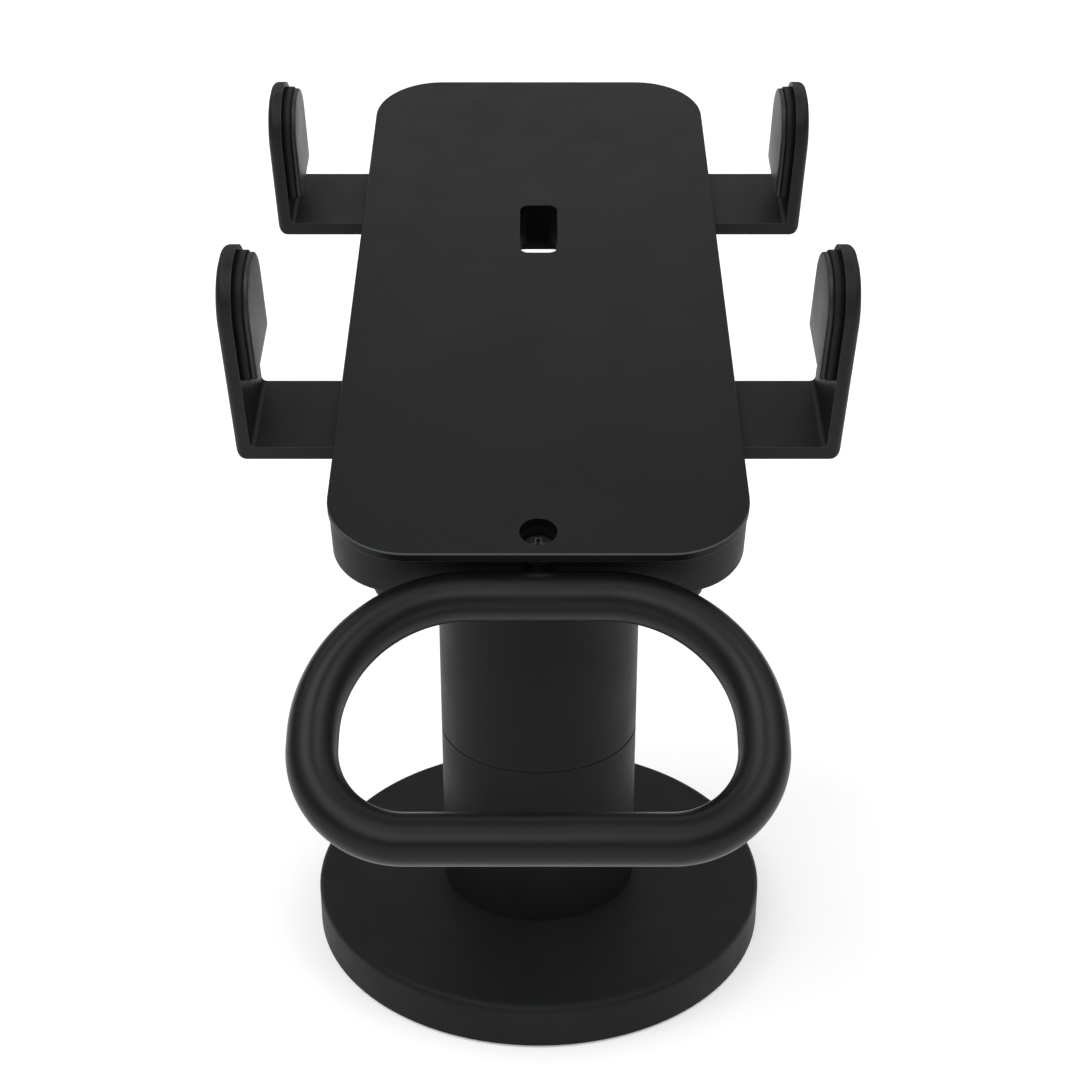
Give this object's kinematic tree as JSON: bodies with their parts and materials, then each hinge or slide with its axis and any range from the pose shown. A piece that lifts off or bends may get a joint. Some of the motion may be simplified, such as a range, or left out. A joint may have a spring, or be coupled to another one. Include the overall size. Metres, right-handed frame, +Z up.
{
  "type": "card payment terminal stand",
  "caption": "Black counter stand that swivels and tilts, clamping a card payment terminal between padded side arms, with an oblong ring handle at the front.",
  "frame": {"origin": "centre of the cable hole in the base's underside, on the counter surface", "axes": "+Z up along the column, -Y towards the person using the handle, +X to their right"},
  "size_m": [0.105, 0.1799, 0.1838],
  "materials": {
    "base_coat": "matte black powder coat",
    "column_coat": "matte black powder coat",
    "plate_coat": "satin black powder coat",
    "housing_plastic": "fine moulded texture",
    "arm_plastic": "satin moulded black",
    "pad_backing_plastic": "matte black",
    "pad_rubber": "matte dark grey foam rubber",
    "handle_coat": "satin soft-touch black",
    "black_screw": "black oxide",
    "zinc_steel": "zinc plated",
    "slide_steel": "brushed",
    "yoke_metal": "black coated casting",
    "weight_iron": "raw, oiled",
    "foot_rubber": "matte",
    "bush_plastic": "matte",
    "bearing_plastic": "smooth acetal",
    "acetal": "natural acetal",
    "bronze": "oiled bronze"
  },
  "bodies": {
    "base": {"base_cover": "base_coat", "base_weight": "weight_iron", "foot_pad": "foot_rubber", "column_screws": "zinc_steel", "lower_column": "column_coat", "swivel_washer": "bearing_plastic"},
    "swivel": {"upper_column": "column_coat", "spindle": "zinc_steel", "friction_washer": "bronze", "disc_spring": "zinc_steel", "spindle_nut": "zinc_steel", "stop_pin": "zinc_steel", "tilt_yoke": "yoke_metal", "yoke_screws": "black_screw", "tilt_bolt": "zinc_steel", "tilt_nut": "zinc_steel", "tilt_washers": "bearing_plastic"},
    "head": {"tilt_lug": "yoke_metal", "lug_screws": "zinc_steel", "housing": "housing_plastic", "bottom_cover": "housing_plastic", "cover_screws": "black_screw", "top_plate": "plate_coat", "plate_standoffs": "zinc_steel", "plate_screws": "black_screw", "cable_bush": "bush_plastic", "front_glide": "acetal", "rear_glide": "acetal", "pinion_screw": "zinc_steel", "ring_handle": "handle_coat", "handle_stud": "handle_coat", "handle_screw": "black_screw"},
    "left_jaw": {"left_slide": "slide_steel", "left_slide_screws": "zinc_steel", "left_front_arm": "arm_plastic", "left_front_pad_backing": "pad_backing_plastic", "left_front_pad": "pad_rubber", "left_rear_arm": "arm_plastic", "left_rear_pad_backing": "pad_backing_plastic", "left_rear_pad": "pad_rubber"},
    "right_jaw": {"right_slide": "slide_steel", "right_slide_screws": "zinc_steel", "right_front_arm": "arm_plastic", "right_front_pad_backing": "pad_backing_plastic", "right_front_pad": "pad_rubber", "right_rear_arm": "arm_plastic", "right_rear_pad_backing": "pad_backing_plastic", "right_rear_pad": "pad_rubber"},
    "pinion": {"pinion": "acetal"}
  },
  "joints": [
    {"name": "column_swivel", "type": "hinge", "parent": "base", "child": "swivel", "pos_m": [0, 0, 0.0484], "axis": [0, 0, 1], "range_deg": [-165, 165]},
    {"name": "head_tilt", "type": "hinge", "parent": "swivel", "child": "head", "pos_m": [0, 0, 0.126], "axis": [1, 0, 0], "range_deg": [-15, 30]},
    {"name": "left_jaw_slide", "type": "slide", "parent": "head", "child": "left_jaw", "axis": [1, 0, 0], "range_m": [-0.003, 0.006]},
    {"name": "right_jaw_slide", "type": "slide", "parent": "head", "child": "right_jaw", "axis": [-1, 0, 0], "range_m": [-0.003, 0.006]},
    {"name": "pinion_turn", "type": "hinge", "parent": "head", "child": "pinion", "pos_m": [0, -0.01537, 0.14277], "axis": [0, -0.3166, 0.9485], "range_deg": [-28.65, 57.3]}
  ],
  "couplings": [
    {"joint": "right_jaw_slide", "follows": "left_jaw_slide", "ratio": 1},
    {"joint": "pinion_turn", "follows": "left_jaw_slide", "rad_per_m": 166.67}
  ]
}
